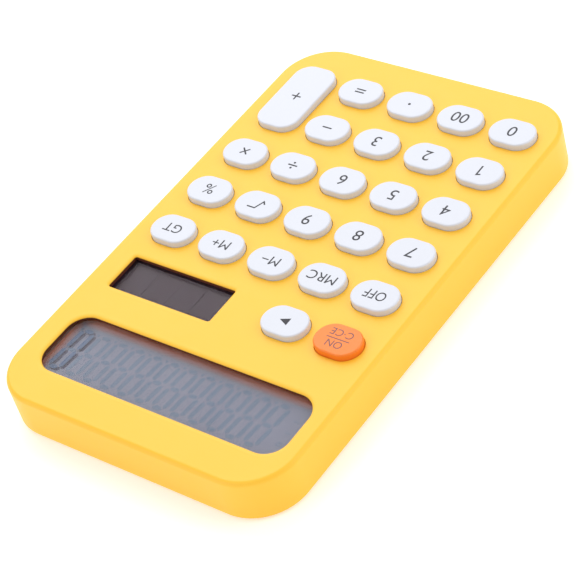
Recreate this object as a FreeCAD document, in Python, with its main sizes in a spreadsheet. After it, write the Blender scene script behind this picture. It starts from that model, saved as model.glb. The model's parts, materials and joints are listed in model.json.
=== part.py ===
import FreeCAD, Part
import Sketcher
import os

# A flat twelve-digit desk calculator, in millimetres.
# +Z is up, +Y points to the display end and +X to the user's right. The origin is on the table,
# under the middle of the case.

doc = FreeCAD.newDocument("desk_calculator")
CLOSE = 1e-4


# ---------------------------------------------------------------- driving dimensions

DIMENSIONS = {
    # outside
    "case_length": 160.3,
    "case_width": 98.9,
    "case_height": 14.0,
    "case_corner": 15.5,
    "case_wall": 2.0,
    "top_edge_round": 1.0,
    "base_edge_round": 0.8,
    "foot_drop": 0.8,
    # keys
    "key_pitch": 18.0,
    "grid_shift": 0.45,
    "first_row": 26.85,
    "key_width": 14.6,
    "key_depth": 10.6,
    "key_corner": 5.25,
    "key_gap": 0.12,
    "key_proud": 2.0,
    "key_travel": 1.2,
    "key_edge_round": 0.25,
    "key_skin": 1.3,
    "key_flange": 0.8,
    "flange_height": 1.0,
    "flange_gap": 0.1,
    "stem_radius": 2.3,
    "hole_edge_round": 0.15,
    "opening_edge_round": 0.5,
    # display
    "window_width": 85.6,
    "window_depth": 21.9,
    "window_corner": 6.6,
    "window_centre_x": -1.2,
    "window_centre_y": 56.8,
    "window_sink": 0.6,
    "window_glue": 1.6,
    "window_thickness": 0.8,
    "gasket_thickness": 0.5,
    "cell_width": 87.6,
    "cell_depth": 23.6,
    "cell_centre_x": -1.2,
    "cell_ledge": 2.2,
    "cell_glass": 0.7,
    "cell_film": 0.2,
    "cell_air": 0.25,
    "holder_wall": 1.0,
    "holder_gap": 0.15,
    "holder_ledge": 1.5,
    "strip_width": 1.8,
    "strip_length": 80.0,
    # solar module
    "solar_width": 37.4,
    "solar_depth": 13.1,
    "solar_corner": 0.8,
    "solar_centre_x": 22.2,
    "solar_centre_y": 27.6,
    "solar_sink": 0.6,
    "solar_glass": 0.7,
    "solar_gasket": 1.1,
    "solar_margin": 2.2,
    "solar_film": 0.1,
    "solar_line": 0.35,
    "lead_radius": 0.3,
    "cushion_inset": 1.5,
    # inside
    "part_play": 0.1,
    "board_top": 7.0,
    "board_thickness": 1.2,
    "board_width": 92.8,
    "board_length": 141.6,
    "mat_thickness": 0.8,
    "mat_width": 82.8,
    "dome_height": 2.4,
    "dome_foot": 3.8,
    "dome_crown": 2.6,
    "dome_skin": 0.5,
    "boss_radius": 2.4,
    "standoff_radius": 2.0,
    "pilot_radius": 0.8,
    "rib_thickness": 1.0,
    "rib_height": 2.4,
    "rib_cutback": 20.7,
    "chip_radius": 5.8,
    "chip_height": 0.7,
    "chip_x": -20.0,
    "chip_y": 40.0,
    "component_length": 2.0,
    "component_width": 1.25,
    "component_height": 0.6,
    "component_pitch": 4.0,
    "components_x": -24.0,
    "components_y": 26.0,
    # underside
    "base_thickness": 1.6,
    "base_gap": 0.15,
    "well_radius": 3.7,
    "side_well_radius": 2.96,
    "well_height": 1.0,
    "well_bore": 2.5,
    "well_depth": 1.4,
    "screw_radius": 1.0,
    "screw_clearance": 1.15,
    "head_radius": 2.1,
    "head_height": 1.1,
    "drive_width": 0.5,
    "drive_depth": 0.6,
    "foot_radius": 4.5,
    "foot_thickness": 1.2,
    "foot_spread_x": 36.0,
    "foot_spread_y": 60.0,
    # button cell
    "coin_radius": 5.8,
    "coin_thickness": 3.05,
    "coin_play": 0.2,
    "coin_ring": 1.6,
    "coin_ring_height": 2.65,
    "contact_thickness": 0.3,
    "contact_width": 4.0,
    "contact_length": 8.0,
    "contact_slit": 2.0,
    "coin_centre_x": 16.0,
    "coin_centre_y": 36.0,
    "door_width": 26.0,
    "door_depth": 16.0,
    "door_thickness": 0.9,
    "door_shift": 5.2,
    "door_land": 0.2,
    "door_screw_reach": 13.6,
}

sizes = doc.addObject("Spreadsheet::Sheet", "sizes")
for line, (word, value) in enumerate(DIMENSIONS.items(), start=1):
    sizes.set("A%d" % line, word)
    sizes.set("B%d" % line, str(value))
    sizes.setAlias("B%d" % line, word)
doc.recompute()

# Levels above the table, as expressions on the sheet.
CASE_TOP = "(sizes.foot_drop + sizes.case_height)"
CEILING = "(%s - sizes.case_wall)" % CASE_TOP
FLOOR = "(sizes.foot_drop + sizes.base_thickness)"
WELL_TOP = "(%s + sizes.well_height)" % FLOOR
WINDOW_CEILING = "(%s - sizes.window_sink)" % CASE_TOP
WINDOW_TOP = "(%s - sizes.gasket_thickness)" % WINDOW_CEILING
WINDOW_UNDERSIDE = "(%s - sizes.window_thickness)" % WINDOW_TOP
CELL_TOP = "(%s - sizes.cell_air)" % WINDOW_UNDERSIDE
FRONT_GLASS = "(%s - sizes.cell_film - sizes.cell_glass)" % CELL_TOP
REAR_GLASS = "(%s - sizes.cell_glass)" % FRONT_GLASS
REFLECTOR = "(%s - sizes.cell_film)" % REAR_GLASS
SOLAR_CEILING = "(%s - sizes.solar_sink)" % CASE_TOP
SOLAR_UNDERSIDE = "(%s - sizes.solar_gasket - sizes.solar_glass)" % SOLAR_CEILING
FLANGE_FLOOR = "(%s - sizes.flange_gap - sizes.flange_height)" % CEILING
KEY_TOP = "(%s + sizes.key_proud)" % CASE_TOP
DOME_TOP = "(sizes.board_top + sizes.mat_thickness + sizes.dome_height)"
BOARD_UNDERSIDE = "(sizes.board_top - sizes.board_thickness)"
DOOR_TOP = "(sizes.foot_drop + sizes.door_thickness)"

# Where the screws stand, and the row of keys, counted from the display, that each rib lies behind.
CASE_SCREWS = [
    (-38.0, 73.4), (38.0, 73.4), (-44.4, -0.15), (44.4, -0.15), (-38.0, -73.4), (38.0, -73.4),
]
BOARD_SCREWS = [
    (-27.45, 17.85), (26.55, 17.85), (-27.45, -18.15), (26.55, -18.15), (-27.45, -54.15), (8.55, -54.15),
]
SIDE_SCREWS = (2, 3)
RIB_ROWS = [0.5, 1.5, 2.5, 3.5, 4.5]
SHORT_RIB_ROW = 4.5

# Each key: its name, its column from the left, its row from the display.
KEYS = [
    ("key_on_clear", 0, 0), ("key_erase_last", 1, 0),
    ("key_off", 0, 1), ("key_memory_recall", 1, 1), ("key_memory_minus", 2, 1),
    ("key_memory_plus", 3, 1), ("key_grand_total", 4, 1),
    ("key_7", 0, 2), ("key_8", 1, 2), ("key_9", 2, 2), ("key_root", 3, 2), ("key_percent", 4, 2),
    ("key_4", 0, 3), ("key_5", 1, 3), ("key_6", 2, 3), ("key_divide", 3, 3), ("key_multiply", 4, 3),
    ("key_1", 0, 4), ("key_2", 1, 4), ("key_3", 2, 4), ("key_minus", 3, 4),
    ("key_0", 0, 5), ("key_00", 1, 5), ("key_point", 2, 5), ("key_equals", 3, 5),
]
TALL_KEY = ("key_plus", 4, 4.5)


# ---------------------------------------------------------------- helpers

def bind(thing, **expressions):
    """Bind properties to sheet expressions; a double underscore in a name stands for a dot."""
    for name, expression in expressions.items():
        thing.setExpression(name.replace("__", "."), str(expression))
    return thing


def value(expression):
    """What an expression on the sheet comes to."""
    return float(sizes.evalExpression(str(expression)))


def place(thing, x=0, y=0, z=0):
    return bind(thing, Placement__Base__x=x, Placement__Base__y=y, Placement__Base__z=z)


def box(name, width, depth, height, x, y, z):
    """A block centred on x and y, standing on z."""
    block = bind(doc.addObject("Part::Box", name), Length=width, Width=depth, Height=height)
    return place(block, "%s - (%s) / 2" % (x, width), "%s - (%s) / 2" % (y, depth), z)


def cylinder(name, radius, height, x, y, z):
    return place(bind(doc.addObject("Part::Cylinder", name), Radius=radius, Height=height), x, y, z)


def cone(name, foot, crown, height, x, y, z):
    shape = bind(doc.addObject("Part::Cone", name), Radius1=foot, Radius2=crown, Height=height)
    return place(shape, x, y, z)


def fuse(name, pieces):
    whole = doc.addObject("Part::MultiFuse", name)
    whole.Shapes = pieces
    return whole


def group(name, pieces):
    """Identical loose pieces that share one node."""
    together = doc.addObject("Part::Compound", name)
    together.Links = pieces
    return together


def cut(name, base, tool):
    left = doc.addObject("Part::Cut", name)
    left.Base = base
    left.Tool = tool
    return left


def new_body(name):
    body = doc.addObject("PartDesign::Body", name)
    body.Label = name
    return body


def sketch_on_level(body, name, level):
    """A sketch parallel to the body's own XY plane, at a height."""
    sketch = body.newObject("Sketcher::SketchObject", name)
    plane = [f for f in body.Origin.OriginFeatures if f.Role == "XY_Plane"][0]
    sketch.AttachmentSupport = (plane, [""])
    sketch.MapMode = "FlatFace"
    return bind(sketch, AttachmentOffset__Base__z=level)


def pin_distance(sketch, kind, *ends, expression):
    """A driving distance or radius bound to an expression."""
    number = sketch.addConstraint(Sketcher.Constraint(kind, *ends, value(expression)))
    sketch.setExpression("Constraints[%d]" % number, str(expression))


def draw_circle(sketch, radius, x, y):
    centre = FreeCAD.Vector(value(x), value(y), 0)
    ring = sketch.addGeometry(Part.Circle(centre, FreeCAD.Vector(0, 0, 1), value(radius)), False)
    pin_distance(sketch, "Radius", ring, expression=radius)
    pin_distance(sketch, "DistanceX", -1, 1, ring, 3, expression=x)
    pin_distance(sketch, "DistanceY", -1, 1, ring, 3, expression=y)


def draw_rectangle(sketch, width, depth, corner, x=0, y=0):
    """A rectangle with rounded corners, centred on x and y."""
    half_w, half_d, r = value(width) / 2, value(depth) / 2, value(corner)
    cx, cy = value(x), value(y)
    up = FreeCAD.Vector(0, 0, 1)
    quarter = 1.5707963267948966
    arcs = []
    lines = []
    for turn, (sx, sy) in enumerate([(1, 1), (-1, 1), (-1, -1), (1, -1)]):
        middle = FreeCAD.Vector(cx + sx * (half_w - r), cy + sy * (half_d - r), 0)
        arc = Part.ArcOfCircle(Part.Circle(middle, up, r), turn * quarter, (turn + 1) * quarter)
        arcs.append(sketch.addGeometry(arc, False))
    for turn in range(4):
        start = sketch.Geometry[arcs[turn]].EndPoint
        end = sketch.Geometry[arcs[(turn + 1) % 4]].StartPoint
        lines.append(sketch.addGeometry(Part.LineSegment(start, end), False))
    for turn in range(4):
        sketch.addConstraint(Sketcher.Constraint("Tangent", arcs[turn], 2, lines[turn], 1))
        sketch.addConstraint(Sketcher.Constraint("Tangent", lines[turn], 2, arcs[(turn + 1) % 4], 1))
        level = "Horizontal" if turn % 2 == 0 else "Vertical"
        sketch.addConstraint(Sketcher.Constraint(level, lines[turn]))
    for turn in range(1, 4):
        sketch.addConstraint(Sketcher.Constraint("Equal", arcs[0], arcs[turn]))
    top, left, bottom, right = lines
    pin_distance(sketch, "Radius", arcs[0], expression=corner)
    pin_distance(sketch, "DistanceX", -1, 1, right, 1, expression="%s + (%s) / 2" % (x, width))
    pin_distance(sketch, "DistanceX", -1, 1, left, 1, expression="%s - (%s) / 2" % (x, width))
    pin_distance(sketch, "DistanceY", -1, 1, top, 1, expression="%s + (%s) / 2" % (y, depth))
    pin_distance(sketch, "DistanceY", -1, 1, bottom, 1, expression="%s - (%s) / 2" % (y, depth))


def pad(body, sketch, length, downward=False):
    feature = body.newObject("PartDesign::Pad", sketch.Name + "_pad")
    feature.Profile = sketch
    feature.Reversed = downward
    bind(feature, Length=length)
    doc.recompute()
    return feature


def pocket(body, sketch, length, upward=False):
    """A cut from the sketch, down unless told upward; it has to take material away."""
    before = body.Shape.Volume
    feature = body.newObject("PartDesign::Pocket", sketch.Name + "_cut")
    feature.Profile = sketch
    feature.Reversed = upward
    bind(feature, Length=length)
    doc.recompute()
    if not body.Shape.Volume < before - CLOSE:
        raise ValueError("%s cuts nothing" % feature.Name)
    return feature


def pattern(body, original, columns, rows):
    """Repeat a feature over key columns and rows, to the right and towards the user."""
    grid = body.newObject("PartDesign::MultiTransform", original.Name + "_grid")
    grid.Originals = [original]
    steps = []
    for role, count in (("X_Axis", columns), ("Y_Axis", rows)):
        if count < 2:
            continue
        run = body.newObject("PartDesign::LinearPattern", original.Name + "_" + role[0])
        axis = [f for f in body.Origin.OriginFeatures if f.Role == role][0]
        run.Direction = (axis, [""])
        run.Reversed = role == "Y_Axis"
        run.Occurrences = count
        bind(run, Length="sizes.key_pitch * %d" % (count - 1))
        steps.append(run)
    grid.Transformations = steps
    body.Tip = grid
    doc.recompute()
    return grid


def around(width, depth, x, y):
    """The plan limits of a block centred on x and y, with a little room outside it."""
    room = value("sizes.key_flange") / 2
    reach_x, reach_y = value(width) / 2 + room, value(depth) / 2 + room
    return value(x) - reach_x, value(x) + reach_x, value(y) - reach_y, value(y) + reach_y


def holds(limits, edge_box):
    low_x, high_x, low_y, high_y = limits
    return (low_x < edge_box.XMin and edge_box.XMax < high_x
            and low_y < edge_box.YMin and edge_box.YMax < high_y)


def edges_at(shape, level, places=None):
    """Names of the edges that lie wholly at a height, and within one of the plan limits if any are given."""
    names = []
    for number, edge in enumerate(shape.Edges, start=1):
        edge_box = edge.BoundBox
        if abs(edge_box.ZMin - level) > CLOSE or abs(edge_box.ZMax - level) > CLOSE:
            continue
        if places is None or any(holds(limits, edge_box) for limits in places):
            names.append("Edge%d" % number)
    return names


def fillet(body, base, names, radius, label):
    feature = body.newObject("PartDesign::Fillet", label)
    feature.Base = (base, names)
    bind(feature, Radius=radius)
    doc.recompute()
    return feature


def key_x(column):
    return "(sizes.key_pitch * %s - sizes.grid_shift)" % (column - 2)


def key_y(row):
    return "(sizes.first_row - sizes.key_pitch * %s)" % row


# ---------------------------------------------------------------- top case

def make_top_case():
    body = new_body("top_case")
    outline = sketch_on_level(body, "case_outline", "sizes.foot_drop")
    draw_rectangle(outline, "sizes.case_width", "sizes.case_length", "sizes.case_corner")
    shell = pad(body, outline, "sizes.case_height")
    top = value(CASE_TOP)
    shell = fillet(body, shell, edges_at(shell.Shape, top), "sizes.top_edge_round", "case_top_round")
    low_edges = edges_at(shell.Shape, value("sizes.foot_drop"))
    fillet(body, shell, low_edges, "sizes.base_edge_round", "case_base_round")

    inside = sketch_on_level(body, "case_inside", "sizes.foot_drop")
    draw_rectangle(
        inside,
        "sizes.case_width - 2 * sizes.case_wall",
        "sizes.case_length - 2 * sizes.case_wall",
        "sizes.case_corner - sizes.case_wall",
    )
    pocket(body, inside, "sizes.case_height - sizes.case_wall", upward=True)

    bosses = sketch_on_level(body, "case_bosses", CEILING)
    for x, y in CASE_SCREWS:
        draw_circle(bosses, "sizes.boss_radius", x, y)
    pad(body, bosses, "%s - %s" % (CEILING, WELL_TOP), downward=True)
    standoffs = sketch_on_level(body, "board_standoffs", CEILING)
    for x, y in BOARD_SCREWS:
        draw_circle(standoffs, "sizes.standoff_radius", x, y)
    pad(body, standoffs, "%s - sizes.board_top" % CEILING, downward=True)

    inner_width = "(sizes.case_width - 2 * sizes.case_wall)"
    for number, row in enumerate(RIB_ROWS, start=1):
        rib = sketch_on_level(body, "rib_%d" % number, CEILING)
        cutback = "sizes.rib_cutback" if row == SHORT_RIB_ROW else "0"
        width = "%s + 2 * sizes.part_play - %s" % (inner_width, cutback)
        draw_rectangle(rib, width, "sizes.rib_thickness", "sizes.rib_thickness / 4",
                       "-%s / 2" % cutback, key_y(row))
        pad(body, rib, "sizes.rib_height", downward=True)

    pilots = sketch_on_level(body, "case_pilots", WELL_TOP)
    for x, y in CASE_SCREWS:
        draw_circle(pilots, "sizes.pilot_radius", x, y)
    pocket(body, pilots, "sizes.boss_radius * 3", upward=True)
    board_pilots = sketch_on_level(body, "board_pilots", "sizes.board_top")
    for x, y in BOARD_SCREWS:
        draw_circle(board_pilots, "sizes.pilot_radius", x, y)
    pocket(body, board_pilots, "sizes.boss_radius * 2", upward=True)

    window_place = ("sizes.window_centre_x", "sizes.window_centre_y")
    window_size = ("sizes.window_width", "sizes.window_depth")
    window = sketch_on_level(body, "window_opening", CASE_TOP)
    draw_rectangle(window, *window_size, "sizes.window_corner", *window_place)
    pocket(body, window, "sizes.case_wall")
    rebate = sketch_on_level(body, "window_rebate", CEILING)
    draw_rectangle(
        rebate,
        "sizes.window_width + 2 * sizes.window_glue",
        "sizes.window_depth + 2 * sizes.window_glue",
        "sizes.window_corner + sizes.window_glue",
        *window_place,
    )
    pocket(body, rebate, "sizes.case_wall - sizes.window_sink", upward=True)

    solar_place = ("sizes.solar_centre_x", "sizes.solar_centre_y")
    solar_size = ("sizes.solar_width", "sizes.solar_depth")
    solar = sketch_on_level(body, "solar_opening", CASE_TOP)
    draw_rectangle(solar, *solar_size, "sizes.solar_corner", *solar_place)
    pocket(body, solar, "sizes.case_wall")
    seat = sketch_on_level(body, "solar_seat", CEILING)
    draw_rectangle(
        seat,
        "sizes.solar_width + 2 * sizes.solar_margin + 2 * sizes.part_play",
        "sizes.solar_depth + sizes.solar_margin + 2 * sizes.part_play",
        "sizes.part_play",
        *solar_place,
    )
    pocket(body, seat, "sizes.case_wall - sizes.solar_sink", upward=True)

    hole = ("sizes.key_width + 2 * sizes.key_gap", "sizes.key_depth + 2 * sizes.key_gap")
    corner = "sizes.key_corner + sizes.key_gap"
    blocks = (("hole_first", 0, 2, 1), ("hole_middle", 1, 5, 3), ("hole_last", 4, 4, 2))
    for name, row, columns, rows in blocks:
        sketch = sketch_on_level(body, name, CASE_TOP)
        draw_rectangle(sketch, *hole, corner, key_x(0), key_y(row))
        pattern(body, pocket(body, sketch, "sizes.case_wall"), columns, rows)
    tall = sketch_on_level(body, "hole_tall", CASE_TOP)
    tall_hole = (hole[0], "%s + sizes.key_pitch" % hole[1])
    tall_place = (key_x(TALL_KEY[1]), key_y(TALL_KEY[2]))
    draw_rectangle(tall, *tall_hole, corner, *tall_place)
    last = pocket(body, tall, "sizes.case_wall")

    key_rims = [around(*hole, key_x(column), key_y(row)) for name, column, row in KEYS]
    key_rims.append(around(*tall_hole, *tall_place))
    names = edges_at(last.Shape, top, key_rims)
    last = fillet(body, last, names, "sizes.hole_edge_round", "hole_round")
    display_rims = [around(*window_size, *window_place), around(*solar_size, *solar_place)]
    names = edges_at(last.Shape, top, display_rims)
    fillet(body, last, names, "sizes.opening_edge_round", "opening_round")
    return body


# ---------------------------------------------------------------- keys

def make_keycap(name, column, row, extra_depth="0"):
    """A keycap made at the underside of its flange, then placed over its dome."""
    body = new_body(name)
    depth = "(sizes.key_depth + %s)" % extra_depth
    tall = "(%s - %s)" % (KEY_TOP, FLANGE_FLOOR)

    outline = sketch_on_level(body, name + "_outline", 0)
    draw_rectangle(outline, "sizes.key_width", depth, "sizes.key_corner")
    cap = pad(body, outline, tall)
    fillet(body, cap, edges_at(cap.Shape, value(tall)), "sizes.key_edge_round", name + "_round")

    flange = sketch_on_level(body, name + "_flange", 0)
    draw_rectangle(
        flange,
        "sizes.key_width + 2 * sizes.key_flange",
        "%s + 2 * sizes.key_flange" % depth,
        "sizes.key_corner + sizes.key_flange",
    )
    pad(body, flange, "sizes.flange_height")

    hollow = sketch_on_level(body, name + "_hollow", 0)
    draw_rectangle(
        hollow,
        "sizes.key_width - 2 * sizes.key_skin",
        "%s - 2 * sizes.key_skin" % depth,
        "sizes.key_corner - sizes.key_skin",
    )
    pocket(body, hollow, "%s - sizes.key_skin" % tall, upward=True)

    reach = "(%s - %s)" % (FLANGE_FLOOR, DOME_TOP)
    stem = sketch_on_level(body, name + "_stem", "-%s" % reach)
    draw_circle(stem, "sizes.stem_radius", 0, 0)
    pad(body, stem, "%s + %s - sizes.key_skin / 2" % (reach, tall))
    return place(body, key_x(column), key_y(row), FLANGE_FLOOR)


def make_keypad_mat():
    """One silicone sheet on the board, with a hollow dome under each key."""
    low_end = key_y(5.4)
    high_end = key_y(0.5)
    depth = "(%s - (%s))" % (high_end, low_end)
    sheet = box("mat_sheet", "sizes.mat_width", depth, "sizes.mat_thickness",
                0, "(%s + %s) / 2" % (high_end, low_end), "sizes.board_top")
    tongue_width = "(sizes.mat_width / 2 - sizes.key_pitch * 0.45)"
    tongue = box("mat_tongue", tongue_width, "sizes.key_pitch", "sizes.mat_thickness",
                 "-sizes.mat_width / 2 + %s / 2" % tongue_width, key_y(0), "sizes.board_top")
    solids = [sheet, tongue]
    hollows = []
    for number, (name, column, row) in enumerate(KEYS + [TALL_KEY], start=1):
        x, y = key_x(column), key_y(row)
        solids.append(cone(
            "dome_%d" % number, "sizes.dome_foot", "sizes.dome_crown", "sizes.dome_height",
            x, y, "sizes.board_top + sizes.mat_thickness"))
        hollows.append(cone(
            "dome_hollow_%d" % number, "sizes.dome_foot - sizes.dome_skin",
            "sizes.dome_crown - sizes.dome_skin", "sizes.dome_height",
            x, y, "sizes.board_top"))
    for number, (x, y) in enumerate(BOARD_SCREWS, start=1):
        hollows.append(cylinder(
            "mat_hole_%d" % number, "sizes.standoff_radius + sizes.key_gap * 2", "sizes.mat_thickness * 3",
            x, y, "sizes.board_top - sizes.mat_thickness"))
    return cut("silicone_keypad", fuse("mat_solid", solids), fuse("mat_openings", hollows))


# ---------------------------------------------------------------- display

def window_plate(body, name, level, thickness):
    outline = sketch_on_level(body, name, level)
    draw_rectangle(
        outline,
        "sizes.window_width + 2 * sizes.window_glue - sizes.base_gap",
        "sizes.window_depth + 2 * sizes.window_glue - sizes.base_gap",
        "sizes.window_corner + sizes.window_glue",
        "sizes.window_centre_x",
        "sizes.window_centre_y",
    )
    return pad(body, outline, thickness)


def make_display_window():
    body = new_body("display_window")
    window_plate(body, "window_outline", WINDOW_UNDERSIDE, "sizes.window_thickness")
    return body


def make_window_gasket():
    """The dark adhesive gasket between the window's rim and the case, flush with the opening."""
    body = new_body("window_gasket")
    window_plate(body, "gasket_outline", WINDOW_TOP, "sizes.gasket_thickness")
    opening = sketch_on_level(body, "gasket_opening", WINDOW_CEILING)
    draw_rectangle(opening, "sizes.window_width", "sizes.window_depth", "sizes.window_corner",
                   "sizes.window_centre_x", "sizes.window_centre_y")
    pocket(body, opening, "sizes.gasket_thickness * 2")
    return body


def make_liquid_crystal_cell():
    """Two glass plates with a polariser in front and a reflector behind; the front one overhangs."""
    middle = "sizes.window_centre_y - sizes.cell_ledge / 2"
    overhung = ("sizes.cell_width", "(sizes.cell_depth + sizes.cell_ledge)")
    trimmed = ("sizes.cell_width", "sizes.cell_depth")
    window_y = "sizes.window_centre_y"
    layers = [
        ("front_polariser", overhung, "sizes.cell_film", window_y, "%s - sizes.cell_film" % CELL_TOP),
        ("front_glass", overhung, "sizes.cell_glass", window_y, FRONT_GLASS),
        ("rear_glass", trimmed, "sizes.cell_glass", middle, REAR_GLASS),
        ("rear_reflector", trimmed, "sizes.cell_film", middle, REFLECTOR),
    ]
    return [box(name, *plan, thickness, "sizes.cell_centre_x", y, z)
            for name, plan, thickness, y, z in layers]


def make_display_holder():
    """A frame on the board that carries the cell on three ledges and locates it under the window."""
    body = new_body("display_holder")
    x, y = "sizes.cell_centre_x", "sizes.window_centre_y"
    inner_width = "(sizes.cell_width + 2 * sizes.holder_gap)"
    inner_depth = "(sizes.cell_depth + sizes.cell_ledge + 2 * sizes.holder_gap)"
    walls = " + 2 * sizes.holder_wall"
    outline = sketch_on_level(body, "holder_outline", "sizes.board_top")
    draw_rectangle(outline, inner_width + walls, inner_depth + walls, "sizes.holder_wall * 1.5", x, y)
    pad(body, outline, "%s - sizes.board_top" % CEILING)
    bed = sketch_on_level(body, "holder_bed", CEILING)
    draw_rectangle(bed, inner_width, inner_depth, "sizes.holder_gap / 3", x, y)
    pocket(body, bed, "%s - %s" % (CEILING, REFLECTOR))
    room = sketch_on_level(body, "holder_room", "sizes.board_top")
    draw_rectangle(room, inner_width, inner_depth, "sizes.holder_gap / 3", x, y)
    pocket(body, room, "%s - sizes.holder_wall - sizes.board_top" % REFLECTOR, upward=True)
    opening = sketch_on_level(body, "holder_opening", REFLECTOR)
    draw_rectangle(opening, inner_width + " - 2 * sizes.holder_ledge", inner_depth + " - sizes.holder_ledge",
                   "sizes.holder_gap / 3", x, y + " + sizes.holder_ledge / 2")
    pocket(body, opening, "sizes.holder_wall * 2")
    return body


def make_display_connector():
    """An elastomer strip that carries the board's contacts up to the front glass's overhang."""
    overhang_middle = "sizes.window_centre_y + sizes.cell_depth / 2"
    return box("display_connector", "sizes.strip_length", "sizes.strip_width",
               "%s - sizes.board_top" % FRONT_GLASS,
               "sizes.cell_centre_x", overhang_middle, "sizes.board_top")


# ---------------------------------------------------------------- solar module

def make_solar_module():
    x, y = "sizes.solar_centre_x", "sizes.solar_centre_y"
    plate = ("(sizes.solar_width + 2 * sizes.solar_margin)", "(sizes.solar_depth + sizes.solar_margin)")
    glass = box("solar_glass", *plate, "sizes.solar_glass", x, y, SOLAR_UNDERSIDE)
    gasket_low = "(%s - sizes.solar_gasket)" % SOLAR_CEILING
    frame = box("solar_gasket_frame", *plate, "sizes.solar_gasket", x, y, gasket_low)
    opening = box("solar_gasket_opening", "sizes.solar_width", "sizes.solar_depth",
                  "sizes.solar_gasket * 3", x, y, "%s - sizes.solar_gasket" % gasket_low)
    gasket = cut("solar_gasket", frame, opening)

    film_level = "%s - sizes.solar_film" % SOLAR_UNDERSIDE
    cell_pitch = "(%s / 4)" % plate[0]
    cells = []
    for number in range(4):
        cells.append(box(
            "solar_cell_%d" % (number + 1), "%s - sizes.solar_line" % cell_pitch, plate[1],
            "sizes.solar_film", "%s + %s * %s" % (x, cell_pitch, number - 1.5), y, film_level))
    film = group("solar_cells", cells)

    cushion = box("solar_cushion", "sizes.solar_width - 2 * sizes.cushion_inset",
                  "sizes.solar_depth - 2 * sizes.cushion_inset", "%s - sizes.board_top" % film_level,
                  x, y, "sizes.board_top")
    leads = []
    for side, sign in (("left", "-"), ("right", "+")):
        lead_x = "%s %s (sizes.solar_width / 2 + sizes.solar_margin / 2)" % (x, sign)
        leads.append(cylinder("solar_lead_%s" % side, "sizes.lead_radius",
                              "%s - sizes.board_top" % film_level, lead_x, y, "sizes.board_top"))
    return [gasket, glass, film, cushion, group("solar_leads", leads)]


# ---------------------------------------------------------------- board and battery

def make_board():
    body = new_body("main_board")
    outline = sketch_on_level(body, "board_outline", BOARD_UNDERSIDE)
    draw_rectangle(outline, "sizes.board_width", "sizes.board_length", "sizes.boss_radius * 2")
    pad(body, outline, "sizes.board_thickness")
    holes = sketch_on_level(body, "board_holes", "sizes.board_top")
    for x, y in BOARD_SCREWS:
        draw_circle(holes, "sizes.screw_clearance", x, y)
    pocket(body, holes, "sizes.board_thickness")
    notch_width = "sizes.boss_radius * 4"
    for number in SIDE_SCREWS:
        x, y = CASE_SCREWS[number]
        notch = sketch_on_level(body, "board_notch_%d" % number, "sizes.board_top")
        outward = "%s %s sizes.boss_radius" % (x, "+" if x > 0 else "-")
        draw_rectangle(notch, notch_width, "sizes.boss_radius * 2.4", "sizes.boss_radius / 4", outward, y)
        pocket(body, notch, "sizes.board_thickness")
    return body


def make_board_parts():
    """The chip under its resin, and the small surface components, all under the board."""
    chip = cone("chip_resin", "sizes.chip_radius - sizes.chip_height * 2", "sizes.chip_radius",
                "sizes.chip_height", "sizes.chip_x", "sizes.chip_y",
                "%s - sizes.chip_height" % BOARD_UNDERSIDE)
    small = []
    for number in range(6):
        small.append(box(
            "component_%d" % (number + 1), "sizes.component_length", "sizes.component_width",
            "sizes.component_height", "sizes.components_x + sizes.component_pitch * %s" % (number - 2.5),
            "sizes.components_y", "%s - sizes.component_height" % BOARD_UNDERSIDE))
    return [chip, group("board_components", small)]


def make_button_cell():
    """The cell stands on its door; one strip touches its top, the other its side."""
    x, y = "sizes.coin_centre_x", "sizes.coin_centre_y"
    coin = cylinder("button_cell", "sizes.coin_radius", "sizes.coin_thickness", x, y, FLOOR)
    coin_top = "(%s + sizes.coin_thickness)" % FLOOR
    minus = box("battery_contact_minus", "sizes.contact_length", "sizes.contact_width",
                "%s - %s" % (BOARD_UNDERSIDE, coin_top), x, y, coin_top)
    thickness = "sizes.contact_thickness"
    plus_x = "%s - sizes.coin_radius - %s / 2" % (x, thickness)
    plus_foot = "(%s + %s)" % (FLOOR, thickness)
    plus = box("battery_contact_plus", thickness, "sizes.contact_width - 2 * %s" % thickness,
               "%s - %s" % (BOARD_UNDERSIDE, plus_foot), plus_x, y, plus_foot)
    return [coin, minus, plus]


def make_battery_door():
    body = new_body("battery_door")
    x = "sizes.coin_centre_x + sizes.door_shift"
    y = "sizes.coin_centre_y"
    outline = sketch_on_level(body, "door_outline", "sizes.foot_drop")
    draw_rectangle(outline, "sizes.door_width", "sizes.door_depth", "sizes.boss_radius", x, y)
    pad(body, outline, "sizes.door_thickness")
    plug = sketch_on_level(body, "door_plug", DOOR_TOP)
    draw_circle(plug, "sizes.coin_radius", "sizes.coin_centre_x", y)
    pad(body, plug, "%s - %s" % (FLOOR, DOOR_TOP))
    hole = sketch_on_level(body, "door_screw_hole", DOOR_TOP)
    draw_circle(hole, "sizes.screw_clearance", "sizes.coin_centre_x + sizes.door_screw_reach", y)
    last = pocket(body, hole, "sizes.door_thickness")
    mouth = around("2 * sizes.screw_clearance", "2 * sizes.screw_clearance",
                   "sizes.coin_centre_x + sizes.door_screw_reach", y)
    sink = body.newObject("PartDesign::Chamfer", "door_countersink")
    sink.Base = (last, edges_at(last.Shape, value("sizes.foot_drop"), [mouth]))
    bind(sink, Size="sizes.door_thickness - sizes.door_land")
    doc.recompute()
    return body


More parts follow.
